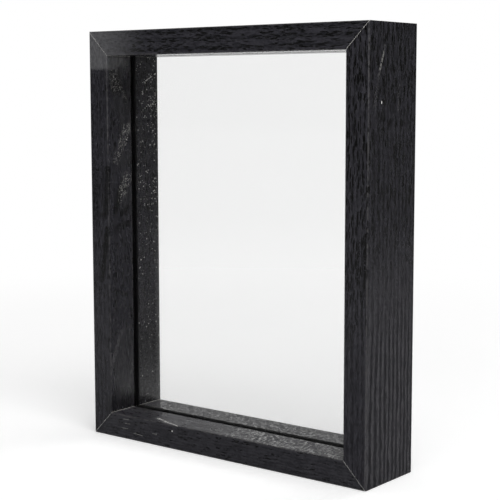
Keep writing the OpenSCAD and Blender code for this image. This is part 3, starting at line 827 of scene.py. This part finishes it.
# The corner nails of the retaining frame: shorter V-nails of the same steel, one across each of its mitres,
# driven in from the back.
dress("retainer_v_nails", nail_steel("retainer_nail_steel", (0.3, 0.1, 0.5)))

# The six turn buttons: strips cut from zinc-plated sheet steel, rounded about the screw's hole at one end and
# bent up into a thumb lip at the other. Each turns on its screw, which has polished a ring about the hole.
ZINC = (0.60, 0.61, 0.60, 1.0)
DULL_ZINC = (0.36, 0.37, 0.37, 1.0)
BRIGHT_ZINC = (0.80, 0.80, 0.78, 1.0)
SHEARED_EDGE = (0.27, 0.265, 0.26, 1.0)
BUTTON_HALF_W = (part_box("button_top")[1].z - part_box("button_top")[0].z) / 2
EDGE_FROM, EDGE_TO = BUTTON_HALF_W - 0.00018, BUTTON_HALF_W - 0.00004
HEAD_R = 0.0025
RING_IN, RING_OUT = (HEAD_R - 0.0002, HEAD_R), (HEAD_R + 0.0004, HEAD_R + 0.0002)
PLATE_RELIEF = 0.00003
PIVOTS = {joint["child"]: Vector(joint["pos_m"]) for joint in frame["joints"] if joint["type"] == "hinge"}


def zinc_plate(name, pivot, along):
    """Zinc-plated sheet, its rolling direction along the button from its pivot at the screw."""
    made, tree = new_material(name)
    place = add_node(tree, "ShaderNodeTexCoord").outputs["Object"]
    turn = (0.0, math.atan2(-along.z, along.x), 0.0)
    own = {"Vector": place, "Location": pivot, "Rotation": turn}
    own = add_node(tree, "ShaderNodeMapping", own, vector_type="TEXTURE").outputs[0]
    shifted = add_vector(tree, "ADD", own, pivot)
    metal = add_group(tree, rolled_steel, {"Vector": shifted, "Scratches": 0.6})

    x, y, z = add_node(tree, "ShaderNodeSeparateXYZ", {0: own}).outputs
    flat = add_node(tree, "ShaderNodeCombineXYZ", {"X": x, "Z": z}).outputs[0]
    from_pivot = add_length(tree, flat)
    ring = add_math(tree, "MULTIPLY", add_ramp(tree, from_pivot, *RING_IN),
                    add_ramp(tree, from_pivot, *RING_OUT))
    ring = add_math(tree, "MULTIPLY", ring, add_ramp(tree, metal["Grain"], 0.3, 0.6, 0.4, 1.0))
    behind = {"X": add_math(tree, "MINIMUM", x, 0.0), "Z": z}
    from_spine = add_length(tree, add_node(tree, "ShaderNodeCombineXYZ", behind).outputs[0])
    edge = add_ramp(tree, from_spine, EDGE_FROM, EDGE_TO)

    colour = add_mix(tree, metal["Dull"], ZINC, DULL_ZINC)
    colour = add_mix(tree, add_ramp(tree, metal["Grain"], 0.35, 0.65, 0.0, 0.35), colour, BRIGHT_ZINC)
    colour = add_mix(tree, add_math(tree, "MAXIMUM", metal["Scratch"], ring), colour, BRIGHT_ZINC)
    colour = add_mix(tree, edge, colour, SHEARED_EDGE)
    rough = add_ramp(tree, metal["Dull"], 0.0, 1.0, 0.26, 0.44)
    rough = add_blend(tree, ring, rough, 0.18)
    rough = add_blend(tree, edge, rough, 0.55)
    add_surface(tree, colour, rough, metal["Height"], strength=0.4, depth=PLATE_RELIEF,
                more={"Metallic": 1.0})
    return made


for button, pivot in PIVOTS.items():
    low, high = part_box(button)
    dress(button, zinc_plate(button + "_zinc", pivot, (low + high) / 2 - pivot))

# The six screws that the buttons turn on: steel wood screws with a domed pan head and a cross recess, zinc
# plated after heading. Driving them has rubbed the recess's mouth bright, and the recess is painted dark
# inside, as grime and as the shade in its depth.
HEADED_ZINC = (0.64, 0.63, 0.59, 1.0)
DULL_HEAD = (0.42, 0.41, 0.385, 1.0)
# Grime and painted shade deep in the cross recess
RECESS_GRIME_AND_SHADE = (0.022, 0.021, 0.020, 1.0)
RECESS_HALF = 0.00145
RECESS_EDGE = 0.0002
MOUTH_DEPTH, SURFACE_DEPTH, RECESS_SHADE_DEPTH = 0.0001, 0.00003, 0.00045
DOME_R = 0.0036
SCREW_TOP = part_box("button_screws")[1].y
TURNING_PITCH, TURNING_HEIGHT = 0.00022, 0.15

screw_zinc, tree = new_material("screw_zinc")
place = add_node(tree, "ShaderNodeTexCoord").outputs["Object"]
distances = []
for pivot in PIVOTS.values():
    reach = add_vector(tree, "MULTIPLY", add_vector(tree, "SUBTRACT", place, pivot), (1.0, 0.0, 1.0))
    distances.append(add_length(tree, reach))
from_axis = combine(tree, "MINIMUM", distances)
metal = add_group(tree, rolled_steel, {"Vector": place, "Scratches": 0.5})
y = add_node(tree, "ShaderNodeSeparateXYZ", {0: place}).outputs["Y"]
dome_drop = add_math(tree, "DIVIDE", add_math(tree, "MULTIPLY", from_axis, from_axis), 2 * DOME_R)
below_dome = add_math(tree, "SUBTRACT", add_math(tree, "SUBTRACT", SCREW_TOP, y), dome_drop)
inner = add_ramp(tree, from_axis, RECESS_HALF + RECESS_EDGE, RECESS_HALF)
recess_shade = add_math(tree, "MULTIPLY", inner, add_ramp(tree, below_dome, MOUTH_DEPTH, RECESS_SHADE_DEPTH))
mouth = add_math(tree, "MULTIPLY", inner, add_ramp(tree, below_dome, MOUTH_DEPTH, SURFACE_DEPTH))
turning = add_math(tree, "SINE", add_math(tree, "MULTIPLY", from_axis, 2 * math.pi / TURNING_PITCH))
turning = add_math(tree, "MULTIPLY_ADD", turning, TURNING_HEIGHT, metal["Height"])
colour = add_mix(tree, metal["Dull"], HEADED_ZINC, DULL_HEAD)
colour = add_mix(tree, add_math(tree, "MULTIPLY", mouth, metal["Grain"]), colour, BRIGHT_ZINC)
colour = add_mix(tree, metal["Scratch"], colour, BRIGHT_ZINC)
# Painted shade and grime deep in the cross recess
colour = add_mix(tree, recess_shade, colour, RECESS_GRIME_AND_SHADE)
rough = add_blend(tree, recess_shade, add_ramp(tree, metal["Dull"], 0.0, 1.0, 0.22, 0.4), 0.7)
add_surface(tree, colour, rough, turning, strength=0.4, depth=PLATE_RELIEF, more={"Metallic": 1.0})
dress("button_screws", screw_zinc)
